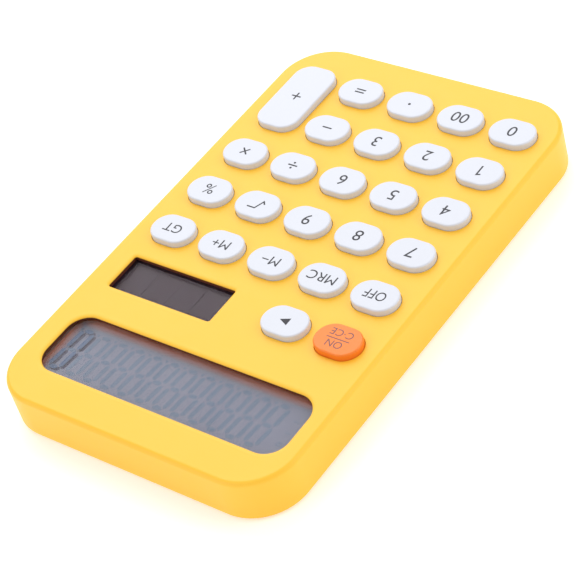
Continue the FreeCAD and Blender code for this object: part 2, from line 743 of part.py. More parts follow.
def screw(name, x, y, head_level, shank_length):
    """A pan-head screw whose head hangs under head_level and whose shank goes up."""
    foot = "(%s - sizes.head_height)" % head_level
    head = cylinder(name + "_head", "sizes.head_radius", "sizes.head_height", x, y, foot)
    shank = cylinder(name + "_shank", "sizes.pilot_radius", shank_length, x, y, head_level)
    reach = "sizes.head_radius * 1.2"
    slot = box(name + "_slot", reach, "sizes.drive_width", "sizes.drive_depth", x, y, foot)
    other = box(name + "_cross", "sizes.drive_width", reach, "sizes.drive_depth", x, y, foot)
    return cut(name, fuse(name + "_blank", [head, shank]), fuse(name + "_drive", [slot, other]))


def make_screws():
    seat = "(sizes.foot_drop + sizes.well_depth)"
    case = [screw("case_screw_%d" % n, x, y, seat, "sizes.boss_radius * 3")
            for n, (x, y) in enumerate(CASE_SCREWS, start=1)]
    board_reach = "sizes.board_thickness + sizes.boss_radius * 1.6"
    board = [screw("board_screw_%d" % n, x, y, BOARD_UNDERSIDE, board_reach)
             for n, (x, y) in enumerate(BOARD_SCREWS, start=1)]
    x = "(sizes.coin_centre_x + sizes.door_screw_reach)"
    y = "sizes.coin_centre_y"
    sunk = "(sizes.door_thickness - sizes.door_land)"
    head = cone("door_screw_head", "sizes.pilot_radius + %s" % sunk, "sizes.pilot_radius", sunk,
                x, y, "sizes.foot_drop")
    shank = cylinder("door_screw_shank", "sizes.pilot_radius", "sizes.boss_radius * 1.6",
                     x, y, "sizes.foot_drop + %s / 2" % sunk)
    drive = box("door_screw_slot", "sizes.pilot_radius * 2.2", "sizes.drive_width",
                "sizes.drive_depth / 2", x, y, "sizes.foot_drop")
    door = cut("battery_door_screw", fuse("door_screw_blank", [head, shank]), drive)
    return [group("case_screws", case), group("board_screws", board), door]


# ---------------------------------------------------------------- bottom cover and feet

def foot_places():
    return [("%s sizes.foot_spread_x" % a, "%s sizes.foot_spread_y" % b)
            for a in ("-", "+") for b in ("-", "+")]


def make_bottom_cover():
    body = new_body("bottom_cover")
    inset = "(sizes.case_wall + sizes.base_gap)"
    outline = sketch_on_level(body, "cover_outline", "sizes.foot_drop")
    draw_rectangle(outline, "sizes.case_width - 2 * %s" % inset, "sizes.case_length - 2 * %s" % inset,
                   "sizes.case_corner - %s" % inset)
    pad(body, outline, "sizes.base_thickness")
    wells = sketch_on_level(body, "screw_wells", FLOOR)
    for number, (x, y) in enumerate(CASE_SCREWS):
        radius = "sizes.side_well_radius" if number in SIDE_SCREWS else "sizes.well_radius"
        draw_circle(wells, radius, x, y)
    pad(body, wells, "sizes.well_height")
    ring = sketch_on_level(body, "coin_ring", FLOOR)
    draw_circle(ring, "sizes.coin_radius + sizes.coin_ring", "sizes.coin_centre_x", "sizes.coin_centre_y")
    pad(body, ring, "sizes.coin_ring_height")
    screw_x = "sizes.coin_centre_x + sizes.door_screw_reach"
    boss = sketch_on_level(body, "door_boss", DOOR_TOP)
    draw_circle(boss, "sizes.boss_radius", screw_x, "sizes.coin_centre_y")

    bores = sketch_on_level(body, "well_bores", "sizes.foot_drop")
    for x, y in CASE_SCREWS:
        draw_circle(bores, "sizes.well_bore", x, y)
    pocket(body, bores, "sizes.well_depth", upward=True)
    holes = sketch_on_level(body, "well_holes", "sizes.foot_drop + sizes.well_depth")
    for x, y in CASE_SCREWS:
        draw_circle(holes, "sizes.screw_clearance", x, y)
    pocket(body, holes, "sizes.base_thickness + sizes.well_height", upward=True)
    feet = sketch_on_level(body, "foot_recesses", "sizes.foot_drop")
    for x, y in foot_places():
        draw_circle(feet, "sizes.foot_radius + sizes.part_play", x, y)
    pocket(body, feet, "sizes.foot_thickness - sizes.foot_drop", upward=True)

    door_x = "sizes.coin_centre_x + sizes.door_shift"
    recess = sketch_on_level(body, "door_recess", "sizes.foot_drop")
    draw_rectangle(recess, "sizes.door_width + 2 * sizes.base_gap", "sizes.door_depth + 2 * sizes.base_gap",
                   "sizes.boss_radius + sizes.base_gap", door_x, "sizes.coin_centre_y")
    pocket(body, recess, "sizes.door_thickness", upward=True)
    pad(body, boss, "sizes.boss_radius * 1.6")
    well = sketch_on_level(body, "coin_well", "sizes.foot_drop")
    draw_circle(well, "sizes.coin_radius + sizes.coin_play", "sizes.coin_centre_x", "sizes.coin_centre_y")
    pocket(body, well, "sizes.base_thickness + sizes.coin_thickness", upward=True)
    slit = sketch_on_level(body, "contact_slit", FLOOR)
    slit_x = "sizes.coin_centre_x - sizes.coin_radius - sizes.contact_slit * 0.3"
    draw_rectangle(slit, "sizes.contact_slit", "sizes.contact_width", "sizes.contact_thickness",
                   slit_x, "sizes.coin_centre_y")
    pocket(body, slit, "sizes.coin_thickness", upward=True)
    pilot = sketch_on_level(body, "door_pilot", DOOR_TOP)
    draw_circle(pilot, "sizes.pilot_radius", screw_x, "sizes.coin_centre_y")
    pocket(body, pilot, "sizes.boss_radius * 1.5", upward=True)
    return body


def make_feet():
    feet = [cylinder("foot_%d" % number, "sizes.foot_radius", "sizes.foot_thickness", x, y, 0)
            for number, (x, y) in enumerate(foot_places(), start=1)]
    return group("rubber_feet", feet)


# ---------------------------------------------------------------- build, check and write

nodes = [make_top_case()]
nodes += [make_keycap(name, column, row) for name, column, row in KEYS]
nodes.append(make_keycap(*TALL_KEY, extra_depth="sizes.key_pitch"))
nodes += [make_keypad_mat(), make_display_window(), make_window_gasket()]
nodes += make_liquid_crystal_cell()
nodes += [make_display_holder(), make_display_connector()]
nodes += make_solar_module()
nodes.append(make_board())
nodes += make_board_parts()
nodes += make_button_cell()
nodes.append(make_battery_door())
nodes += make_screws()
nodes += [make_bottom_cover(), make_feet()]
doc.recompute()

for thing in doc.Objects:
    if "Invalid" in thing.State or "Error" in thing.State:
        raise ValueError("%s failed: %s" % (thing.Name, thing.State))
os.makedirs("parts", exist_ok=True)
for node in nodes:
    node.Label = node.Name
    if node.Shape.isNull() or not node.Shape.isValid():
        raise ValueError("%s has no sound shape" % node.Label)
for node in nodes:
    node.Shape.exportStep("parts/%s.step" % node.Label)
print("%d sub-parts written" % len(nodes))
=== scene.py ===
import json
import math

import bpy
from mathutils import Matrix, Vector
from mathutils.geometry import tessellate_polygon


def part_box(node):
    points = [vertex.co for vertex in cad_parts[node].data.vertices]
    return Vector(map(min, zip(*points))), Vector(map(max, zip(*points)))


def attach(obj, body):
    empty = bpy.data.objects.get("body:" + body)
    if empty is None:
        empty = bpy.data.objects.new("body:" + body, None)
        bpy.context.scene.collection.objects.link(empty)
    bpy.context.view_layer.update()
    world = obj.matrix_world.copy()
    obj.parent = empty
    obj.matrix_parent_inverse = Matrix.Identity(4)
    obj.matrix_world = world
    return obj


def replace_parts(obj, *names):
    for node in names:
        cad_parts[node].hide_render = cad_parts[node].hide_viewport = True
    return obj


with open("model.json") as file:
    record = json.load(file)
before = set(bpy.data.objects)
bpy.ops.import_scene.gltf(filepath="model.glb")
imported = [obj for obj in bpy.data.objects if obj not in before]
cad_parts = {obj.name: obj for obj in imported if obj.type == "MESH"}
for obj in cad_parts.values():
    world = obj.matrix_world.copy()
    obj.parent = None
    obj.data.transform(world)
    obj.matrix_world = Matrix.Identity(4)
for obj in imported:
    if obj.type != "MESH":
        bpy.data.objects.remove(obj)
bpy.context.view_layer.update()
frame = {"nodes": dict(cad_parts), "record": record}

MM = 0.001
CASE = "case"

# Sizes of the maker's finer features, which the frame's boxes don't say.
case_corner = 15.5 * MM
case_wall = 2.0 * MM
case_top_round = 1.35 * MM
case_base_round = 0.8 * MM
key_corner = 5.25 * MM
key_flange = 0.8 * MM
key_flange_height = 1.0 * MM
key_gap = 0.12 * MM
key_round = 0.5 * MM
key_skin = 1.3 * MM
stem_radius = 2.3 * MM
flange_gap = 0.1 * MM
hole_round = 0.15 * MM
part_play = 0.1 * MM
opening_sink = 0.6 * MM
opening_slope = 1.3 * MM
opening_drop = 0.5 * MM
window_glue = 1.6 * MM
window_play = 0.15 * MM
window_corner = 6.6 * MM
solar_margin = 2.2 * MM
solar_corner = 0.8 * MM
# Painted bounce light on the display's ground: how far inside the window edge its reddish-brown tint starts,
# and over what width it fades in.
painted_bounce_inset = 1.7 * MM
painted_bounce_fade = 2.3 * MM
boss_radius = 2.4 * MM
standoff_radius = 2.0 * MM
pilot_radius = 0.8 * MM
pilot_stop = 0.4 * MM
well_lift = 2.6 * MM
rib_thickness = 1.0 * MM
rib_height = 2.4 * MM
rib_gap = 0.4 * MM
shortest_rib = 4 * MM
tall_key_room = 9 * MM

case_low, case_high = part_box("top_case")
ceiling = case_high.z - case_wall


# ---------------------------------------------------------------- plan measures read from the frame

def plan(node, trim=0.0):
    """A node's plan size, less a trim on every side, and its plan centre."""
    low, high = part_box(node)
    size = (high.x - low.x - 2 * trim, high.y - low.y - 2 * trim)
    return size, ((low.x + high.x) / 2, (low.y + high.y) / 2)


# ---------------------------------------------------------------- shader arithmetic

class Wire:
    """A node's output that can stand in ordinary arithmetic."""

    def __init__(self, finish, socket):
        self.finish = finish
        self.socket = socket

    def _math(self, operation, first, second):
        return self.finish.add("ShaderNodeMath", {"operation": operation}, {0: first, 1: second})

    def __add__(self, other):
        return self._math("ADD", self, other)

    def __radd__(self, other):
        return self._math("ADD", other, self)

    def __sub__(self, other):
        return self._math("SUBTRACT", self, other)

    def __rsub__(self, other):
        return self._math("SUBTRACT", other, self)

    def __mul__(self, other):
        return self._math("MULTIPLY", self, other)

    def __rmul__(self, other):
        return self._math("MULTIPLY", other, self)

    def __truediv__(self, other):
        return self._math("DIVIDE", self, other)

    def __pow__(self, other):
        return self._math("POWER", self, other)

    def __abs__(self):
        return self._math("ABSOLUTE", self, 0.0)

    def larger(self, other):
        return self._math("MAXIMUM", self, other)

    def clamp(self):
        return self.finish.add("ShaderNodeClamp", {}, {"Value": self})


class Finish:
    """A material under construction."""

    def __init__(self, name):
        self.material = bpy.data.materials.new(name)
        self.material.use_nodes = True
        self.tree = self.material.node_tree
        self.tree.nodes.clear()
        self.place = self.add("ShaderNodeTexCoord", {}, {}, "Object")

    def add(self, kind, settings, sockets, output=0):
        """Add any node: its settings first, then the values or wires of its sockets."""
        node = self.tree.nodes.new(kind)
        for name, setting in settings.items():
            setattr(node, name, setting)
        for name, value in sockets.items():
            if isinstance(value, Wire):
                self.tree.links.new(value.socket, node.inputs[name])
            else:
                node.inputs[name].default_value = value
        return Wire(self, node.outputs[output])

    def noise(self, grain, detail, roughness=0.5, stretch=(1, 1, 1)):
        """Even noise from 0 to 1 whose lumps are about one grain, in metres, across."""
        space = self.add("ShaderNodeVectorMath", {"operation": "MULTIPLY"}, {0: self.place, 1: stretch})
        sockets = {"Vector": space, "Scale": 1 / grain, "Detail": detail, "Roughness": roughness}
        return self.add("ShaderNodeTexNoise", {}, sockets)

    def split(self, axis):
        """One coordinate of the place on the surface, in metres."""
        return self.add("ShaderNodeSeparateXYZ", {}, {0: self.place}, axis)

    def mix(self, amount, first, second):
        """Mix two colours; a plain colour is three numbers."""
        node = self.tree.nodes.new("ShaderNodeMix")
        node.data_type = "RGBA"
        for socket, value in zip((node.inputs[0], node.inputs[6], node.inputs[7]), (amount, first, second)):
            if isinstance(value, Wire):
                self.tree.links.new(value.socket, socket)
            else:
                socket.default_value = (*value, 1) if isinstance(value, tuple) else value
        return Wire(self, node.outputs[2])

    def bump(self, height, depth, strength):
        return self.add("ShaderNodeBump", {}, {"Height": height, "Distance": depth, "Strength": strength})

    def principled(self, **values):
        """Underscores in a name stand for its spaces."""
        named = {name.replace("_", " "): value for name, value in values.items()}
        return self.add("ShaderNodeBsdfPrincipled", {}, named)

    def done(self, shader):
        output = self.tree.nodes.new("ShaderNodeOutputMaterial")
        self.tree.links.new(shader.socket, output.inputs["Surface"])
        return self.material


def srgb(red, green, blue):
    """A screen colour, 0 to 255, as the linear colour that a shader takes."""
    channels = [value / 255 for value in (red, green, blue)]
    return tuple(c / 12.92 if c <= 0.04045 else ((c + 0.055) / 1.055) ** 2.4 for c in channels)


# ---------------------------------------------------------------- finishes

def moulded_plastic(name, colour, deep, roughness=0.42):
    """Satin moulded plastic: a fine spark-eroded grain, faint flow marks and a slightly uneven sheen."""
    finish = Finish(name)
    flow = finish.noise(22 * MM, detail=4.0, stretch=(1, 0.35, 1))
    grain = finish.noise(0.16 * MM, detail=2.0)
    sheen = finish.noise(7 * MM, detail=3.0)
    tint = finish.mix((flow * 0.5 + grain * 0.5).clamp(), colour, deep)
    surface = finish.principled(
        Base_Color=tint,
        Roughness=roughness + (sheen - 0.5) * 0.10 + (grain - 0.5) * 0.12,
        Specular_IOR_Level=0.45,
        Normal=finish.bump(grain, 0.012 * MM, 0.55),
    )
    return finish.done(surface)


def printed_ink(name, colour, light):
    """Pad-printed ink: thin, slightly mottled and duller than the plastic under it."""
    finish = Finish(name)
    mottle = finish.noise(0.25 * MM, detail=3.0)
    tint = finish.mix(mottle * 0.55, colour, light)
    return finish.done(finish.principled(
        Base_Color=tint,
        Roughness=0.5 + mottle * 0.2,
        Normal=finish.bump(mottle, 0.004 * MM, 0.5),
    ))


def clear_sheet(name, tint, gloss, haze=0.01, roughness=0.06):
    """Thin clear sheet: light passes straight through, and only its gloss and a trace of haze show."""
    finish = Finish(name)
    smear = finish.noise(9 * MM, detail=4.0, stretch=(1, 0.5, 1))
    shine = finish.principled(Base_Color=(1, 1, 1, 1), Metallic=1.0, Roughness=roughness + smear * 0.05)
    through = finish.add("ShaderNodeBsdfTransparent", {}, {"Color": (*tint, 1)})
    graze = finish.add("ShaderNodeLayerWeight", {}, {"Blend": 0.5}, "Facing")
    amount = (gloss + graze ** 5 * 0.9 + smear * haze).clamp()
    return finish.done(finish.add("ShaderNodeMixShader", {}, {0: amount, 1: through, 2: shine}))


def metal(name, colour, roughness, brushed=(1, 1, 1)):
    """Plated metal with fine draw marks."""
    finish = Finish(name)
    marks = finish.noise(0.3 * MM, detail=4.0, stretch=brushed)
    stain = finish.noise(3 * MM, detail=3.0)
    return finish.done(finish.principled(
        Base_Color=finish.mix(stain * 0.35, colour, tuple(c * 0.75 for c in colour)),
        Metallic=1.0,
        Roughness=roughness + marks * 0.18,
        Normal=finish.bump(marks, 0.006 * MM, 0.4),
    ))


def speckled(name, colour, other, grain, roughness, depth=0.01 * MM):
    """A matte body with lumps of a second colour, for rubber, foam, resin, board and ceramic."""
    finish = Finish(name)
    lumps = finish.noise(grain, detail=5.0, roughness=0.6)
    cloud = finish.noise(grain * 14, detail=3.0)
    return finish.done(finish.principled(
        Base_Color=finish.mix((lumps * 0.7 + cloud * 0.5 - 0.1).clamp(), colour, other),
        Roughness=roughness + (lumps - 0.5) * 0.15,
        Normal=finish.bump(lumps, depth, 0.6),
    ))


def display_ground(name):
    """The grey-blue ground of the liquid crystal, sparkling finely, with painted reddish-brown bounce light
    from the yellow case round its edge.
    """
    finish = Finish(name)
    sparkle = finish.noise(0.12 * MM, detail=2.0, roughness=0.7)
    cloud = finish.noise(18 * MM, detail=3.0, stretch=(0.6, 1, 1))
    ground = finish.mix(cloud, srgb(141, 139, 160), srgb(135, 134, 156))
    lively = finish.mix(sparkle * 0.22, ground, srgb(155, 155, 173))
    size, centre = plan("display_window", window_glue)
    across = finish.split(0) - centre[0]
    along = finish.split(1) - centre[1]
    # painted bounce light: towards the window's edges the ground is tinted reddish brown, standing in for
    # warm light bounced off the yellow walls into the shaded rim
    outside = (abs(across) - (size[0] / 2 - painted_bounce_inset)).larger(abs(along) - (size[1] / 2 - painted_bounce_inset))
    painted_bounce = (outside / painted_bounce_fade + cloud * 0.2).clamp()
    return finish.done(finish.principled(
        # the reddish-brown colour of the painted bounce light
        Base_Color=finish.mix(painted_bounce, lively, srgb(236, 132, 98)),
        Roughness=0.42 + sparkle * 0.15,
        Normal=finish.bump(sparkle, 0.004 * MM, 0.4),
    ))


def segment_ink(name, colour, other):
    """A liquid crystal segment, slightly clouded."""
    finish = Finish(name)
    cloud = finish.noise(1.2 * MM, detail=2.0)
    return finish.done(finish.principled(
        Base_Color=finish.mix(cloud, colour, other),
        Roughness=0.4 + cloud * 0.1,
    ))


def solar_film(name, colour, other, fleck):
    """Amorphous silicon: dark purplish brown, with faint interference clouds."""
    finish = Finish(name)
    cloud = finish.noise(6 * MM, detail=3.0, stretch=(1, 0.4, 1))
    fine = finish.noise(0.4 * MM, detail=3.0)
    tint = finish.mix(cloud, colour, other)
    return finish.done(finish.principled(
        Base_Color=finish.mix(fine * 0.25, tint, fleck),
        Roughness=0.3 + fine * 0.12,
        Specular_IOR_Level=0.1,
        Normal=finish.bump(fine, 0.003 * MM, 0.4),
    ))


finishes = {
    "yellow_shell": moulded_plastic("yellow_shell", srgb(255, 200, 60), srgb(254, 194, 46)),
    "key_white": moulded_plastic("key_white", srgb(217, 220, 229), srgb(213, 216, 226), 0.38),
    "key_orange": moulded_plastic("key_orange", srgb(250, 134, 42), srgb(246, 126, 34), 0.38),
    "grey_ink": printed_ink("grey_ink", srgb(40, 40, 48), srgb(62, 62, 70)),
    "plum_ink": printed_ink("plum_ink", srgb(118, 82, 84), srgb(142, 98, 94)),
    "clear_window": clear_sheet("clear_window", (0.97, 0.975, 0.98), 0.008, 0.006),
    "cell_glass": clear_sheet("cell_glass", (0.96, 0.97, 0.98), 0.01),
    "polariser": clear_sheet("polariser", (0.95, 0.955, 0.96), 0.003, 0.004, 0.2),
    "solar_glass": clear_sheet("solar_glass", (0.97, 0.96, 0.97), 0.006, 0.006, 0.1),
    "reflector": display_ground("reflector"),
    "live_segment": segment_ink("live_segment", srgb(84, 106, 146), srgb(76, 98, 138)),
    "cast_shade": segment_ink("cast_shade", srgb(74, 62, 92), srgb(82, 70, 100)),
    "idle_segment": segment_ink("idle_segment", srgb(112, 126, 152), srgb(106, 121, 148)),
    "silicon": solar_film("silicon", srgb(62, 44, 54), srgb(54, 40, 52), srgb(72, 54, 60)),
    "cell_line": solar_film("cell_line", srgb(92, 80, 86), srgb(84, 74, 82), srgb(104, 92, 96)),
    "gasket": speckled("gasket", srgb(98, 40, 12), srgb(78, 30, 8), 0.4 * MM, 0.8),
    "silicone": speckled("silicone", srgb(214, 214, 210), srgb(200, 200, 198), 0.8 * MM, 0.5),
    # painted shade: this slot, which holds the display holder, is coloured the reddish brown that yellow
    # plastic shows in shade under the window
    "inner_plastic": moulded_plastic("inner_plastic", srgb(150, 92, 66), srgb(138, 82, 58), 0.5),
    "elastomer": speckled("elastomer", srgb(150, 92, 100), srgb(60, 50, 56), 0.2 * MM, 0.6),
    "foam": speckled("foam", srgb(52, 52, 54), srgb(30, 30, 32), 0.5 * MM, 0.9, 0.1 * MM),
    "copper": metal("copper", srgb(208, 132, 92), 0.25),
    "board": speckled("board", srgb(182, 138, 84), srgb(150, 108, 62), 0.6 * MM, 0.55),
    "resin": speckled("resin", srgb(28, 28, 30), srgb(44, 44, 46), 0.7 * MM, 0.3),
    "ceramic": speckled("ceramic", srgb(170, 148, 116), srgb(120, 100, 78), 0.3 * MM, 0.5),
    "cell_steel": metal("cell_steel", srgb(206, 206, 204), 0.22),
    "spring_steel": metal("spring_steel", srgb(214, 212, 204), 0.25, (1, 8, 1)),
    "screw_steel": metal("screw_steel", srgb(190, 192, 196), 0.28),
    "foot_rubber": speckled("foot_rubber", srgb(46, 46, 48), srgb(62, 62, 64), 0.3 * MM, 0.75, 0.03 * MM),
}


# ---------------------------------------------------------------- mesh building

sharp_edge = math.radians(40)


def rounded(width, depth, corner, centre, steps):
    """The plan outline of a rounded rectangle, anticlockwise from its right side."""
    points = []
    for turn, (sx, sy) in enumerate([(1, 1), (-1, 1), (-1, -1), (1, -1)]):
        x = centre[0] + sx * (width / 2 - corner)
        y = centre[1] + sy * (depth / 2 - corner)
        for step in range(steps + 1):
            angle = math.pi / 2 * (turn + step / steps)
            points.append((x + corner * math.cos(angle), y + corner * math.sin(angle)))
    return points


def disc(radius, centre, steps=32):
    angles = [math.tau * step / steps for step in range(steps)]
    return [(centre[0] + radius * math.cos(a), centre[1] + radius * math.sin(a)) for a in angles]


class Skin:
    """One closed surface, gathered ring by ring."""

    def __init__(self):
        self.points = []
        self.faces = []

    def ring(self, outline, z):
        first = len(self.points)
        self.points += [Vector((x, y, z)) for x, y in outline]
        return list(range(first, len(self.points)))

    def wall(self, lower, upper):
        """Faces between two rings, facing out when the outline runs anticlockwise and upper is above."""
        count = len(lower)
        for i in range(count):
            j = (i + 1) % count
            self.faces.append((lower[i], lower[j], upper[j], upper[i]))

    def walls(self, rings):
        for lower, upper in zip(rings, rings[1:]):
            self.wall(lower, upper)

    def lid(self, rings, upward=True):
        """A flat face bounded by the first ring, with the other rings as holes in it."""
        loops = [[self.points[i] for i in ring] for ring in rings]
        flat = [i for ring in rings for i in ring]
        for a, b, c in tessellate_polygon(loops):
            corners = [flat[a], flat[b], flat[c]]
            p, q, r = (self.points[i] for i in corners)
            if ((q - p).cross(r - p).z > 0) != upward:
                corners.reverse()
            self.faces.append(tuple(corners))

    def piece(self, name, finish, body=CASE, slot=None):
        mesh = bpy.data.meshes.new(name)
        mesh.from_pydata([tuple(p) for p in self.points], [], self.faces)
        mesh.validate()
        thing = bpy.data.objects.new(name, mesh)
        return settle(thing, finish, body)


def settle(thing, finish, body):
    """Shade a mesh piece, give it its finish, and let it ride on its body."""
    bpy.context.scene.collection.objects.link(thing)
    mesh = thing.data
    mesh.shade_smooth()
    mesh.set_sharp_from_angle(angle=sharp_edge)
    thing.modifiers.new("flat faces lead", "WEIGHTED_NORMAL").keep_sharp = True
    graph = bpy.context.evaluated_depsgraph_get()
    settled = bpy.data.meshes.new_from_object(thing.evaluated_get(graph), depsgraph=graph)
    thing.modifiers.clear()
    thing.data = settled
    settled.name = thing.name
    settled.materials.clear()
    settled.materials.append(finishes[finish])
    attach(thing, body)
    return thing


# ---------------------------------------------------------------- outlines

case_size, case_centre = plan("top_case")
wide_corner = 10 * MM
keys = [name for name in frame["nodes"] if name.startswith("key_")]


def round_over(size, corner, centre, radius, edge_z, turn=1, outward=False, steps=6, drop=None):
    """Outlines and heights of a quarter-round between a wall and a flat face at edge_z.

    The first outline lies on the wall. turn is 1 for an upper edge and -1 for a lower one. outward is for
    the rim of a hole, where the round spreads away from the hole's middle. drop is its height, if that
    differs from its radius.
    """
    side = 1 if outward else -1
    bands = []
    for step in range(steps + 1):
        angle = math.pi / 2 * step / steps
        spread = side * radius * (1 - math.cos(angle))
        height = edge_z - turn * (drop or radius) * (1 - math.sin(angle))
        bands.append((grown(size, corner, centre, spread), height))
    return bands


def grown(size, corner, centre, spread):
    """A rounded rectangle's outline, offset outward by spread; a wide corner takes more points."""
    steps = 28 if corner > wide_corner else 14
    return rounded(size[0] + 2 * spread, size[1] + 2 * spread, corner + spread, centre, steps)


# ---------------------------------------------------------------- top case

def island(skin, outline, foot_z, pilot):
    """A boss or rib hanging from the ceiling, with a blind screw hole at pilot if given; returns its rim."""
    rim = skin.ring(outline, ceiling)
    foot = skin.ring(outline, foot_z)
    skin.wall(foot, rim)
    if pilot is None:
        skin.lid([foot], upward=False)
        return rim
    hole = disc(pilot_radius, pilot)
    mouth = skin.ring(hole, foot_z)
    deep = skin.ring(hole, ceiling - pilot_stop)
    skin.wall(deep, mouth)
    skin.lid([deep], upward=False)
    skin.lid([foot, mouth], upward=False)
    return rim


def key_hole(skin, name):
    """A rounded-over hole that follows a key's own outline; returns its upper and lower rims."""
    size, centre = plan(name, key_flange - key_gap)
    bands = round_over(size, key_corner + key_gap, centre, hole_round, case_high.z, outward=True)
    rings = [skin.ring(outline, z) for outline, z in bands]
    lower = skin.ring(bands[0][0], ceiling)
    skin.walls(list(reversed([lower] + rings)))
    return rings[-1], lower


def stepped_hole(skin, size, corner, centre, seat_size, seat_corner):
    """An opening with a soft slope round it and a wider seat under it; returns its two rims."""
    bands = round_over(size, corner, centre, opening_slope, case_high.z, outward=True, steps=8,
                       drop=opening_drop)
    rings = [skin.ring(outline, z) for outline, z in bands]
    lip = skin.ring(bands[0][0], case_high.z - opening_sink)
    seat = grown(seat_size, seat_corner, centre, 0)
    shelf = skin.ring(seat, case_high.z - opening_sink)
    lower = skin.ring(seat, ceiling)
    skin.walls(list(reversed([shelf, lip] + rings)))
    skin.wall(shelf, lower)
    return rings[-1], lower


def hanging_outlines():
    """Bosses for the case screws, standoffs for the board screws and the ribs between the key rows."""
    well_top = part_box("bottom_cover")[0].z + well_lift
    board_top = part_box("main_board")[1].z
    rows = sorted({round(plan(name)[1][1], 5) for name in keys if name != "key_plus"}, reverse=True)
    ribs = [(upper + lower) / 2 for upper, lower in zip(rows, rows[1:])]
    bosses = [(x * MM, y * MM) for x, y in
              ((-38, 73.4), (38, 73.4), (-44.4, -0.15), (44.4, -0.15), (-38, -73.4), (38, -73.4))]
    standoffs = [(x * MM, y * MM) for x, y in
                 ((-27.45, 17.85), (26.55, 17.85), (-27.45, -18.15), (26.55, -18.15),
                  (-27.45, -54.15), (8.55, -54.15))]
    hung = [(disc(boss_radius, spot), well_top, spot) for spot in bosses]
    hung += [(disc(standoff_radius, spot), board_top, spot) for spot in standoffs]
    reach = case_size[0] / 2 - case_wall - rib_gap
    right_end = {ribs[-1]: plan("key_plus")[1][0] - tall_key_room}
    for y in ribs:
        stops = sorted(
            [(x - boss_radius, x + boss_radius) for x, spot_y in bosses + standoffs if abs(spot_y - y) < MM]
        )
        start = -reach
        for low, high in stops + [(right_end.get(y, reach), reach)]:
            length = low - rib_gap - start
            if length > shortest_rib:
                outline = rounded(length, rib_thickness, rib_thickness / 4, (start + length / 2, y), 4)
                hung.append((outline, ceiling - rib_height, None))
            start = max(start, high + rib_gap)
    return hung


def make_top_case():
    skin = Skin()
    corner = case_corner
    base = round_over(case_size, corner, case_centre, case_base_round, case_low.z, turn=-1)
    crown = round_over(case_size, corner, case_centre, case_top_round, case_high.z, steps=8)
    outer = [skin.ring(outline, z) for outline, z in list(reversed(base)) + crown]
    skin.walls(outer)

    inner_outline = grown(case_size, corner, case_centre, -case_wall)
    inner_low = skin.ring(inner_outline, case_low.z)
    inner_high = skin.ring(inner_outline, ceiling)
    skin.wall(inner_high, inner_low)
    skin.wall(inner_low, outer[0])

    uppers = []
    lowers = []
    for name in keys:
        upper, lower = key_hole(skin, name)
        uppers.append(upper)
        lowers.append(lower)
    window_size, window_centre = plan("display_window", window_glue - window_play / 2)
    seat_size = tuple(side + 2 * window_glue for side in window_size)
    solar_size, solar_centre = plan("solar_glass")
    solar_open = (solar_size[0] - 2 * solar_margin, solar_size[1] - solar_margin)
    solar_seat = tuple(side + 2 * part_play for side in solar_size)
    for opening in (
        (window_size, window_corner, window_centre, seat_size, window_corner + window_glue),
        (solar_open, solar_corner, solar_centre, solar_seat, part_play),
    ):
        upper, lower = stepped_hole(skin, *opening)
        uppers.append(upper)
        lowers.append(lower)
    for outline, foot_z, pilot in hanging_outlines():
        lowers.append(island(skin, outline, foot_z, pilot))
    skin.lid([outer[-1]] + uppers)
    skin.lid([inner_high] + lowers, upward=False)
    shell = skin.piece("shell", "yellow_shell", slot="yellow_shell")
    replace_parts(shell, "top_case")


# ---------------------------------------------------------------- keys

def make_keycap(node):
    """A hollow cap with a retaining flange and a stem that stands on its dome."""
    low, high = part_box(node)
    size, centre = plan(node, key_flange)
    flange_high = ceiling - flange_gap
    flange_low = flange_high - key_flange_height
    skin = Skin()
    flange_size = tuple(side + 2 * key_flange for side in size)
    flange_outline = grown(flange_size, key_corner + key_flange, centre, 0)
    foot = skin.ring(flange_outline, flange_low)
    brim = skin.ring(flange_outline, flange_high)
    neck = skin.ring(grown(size, key_corner, centre, 0), flange_high)
    crown = [skin.ring(o, z) for o, z in round_over(size, key_corner, centre, key_round, high.z, steps=7)]
    skin.walls([foot, brim, neck] + crown)
    skin.lid([crown[-1]])

    hollow = grown(size, key_corner, centre, -key_skin)
    mouth = skin.ring(hollow, flange_low)
    roof = skin.ring(hollow, high.z - key_skin)
    skin.wall(roof, mouth)
    skin.lid([foot, mouth], upward=False)
    stem = disc(stem_radius, centre)
    stem_top = skin.ring(stem, high.z - key_skin)
    stem_foot = skin.ring(stem, low.z)
    skin.wall(stem_foot, stem_top)
    skin.lid([stem_foot], upward=False)
    skin.lid([roof, stem_top], upward=False)
    finish = "key_orange" if node == "key_on_clear" else "key_white"
    cap = skin.piece("cap_" + node[4:], finish, body=node)
    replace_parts(cap, node)


# ---------------------------------------------------------------- legends

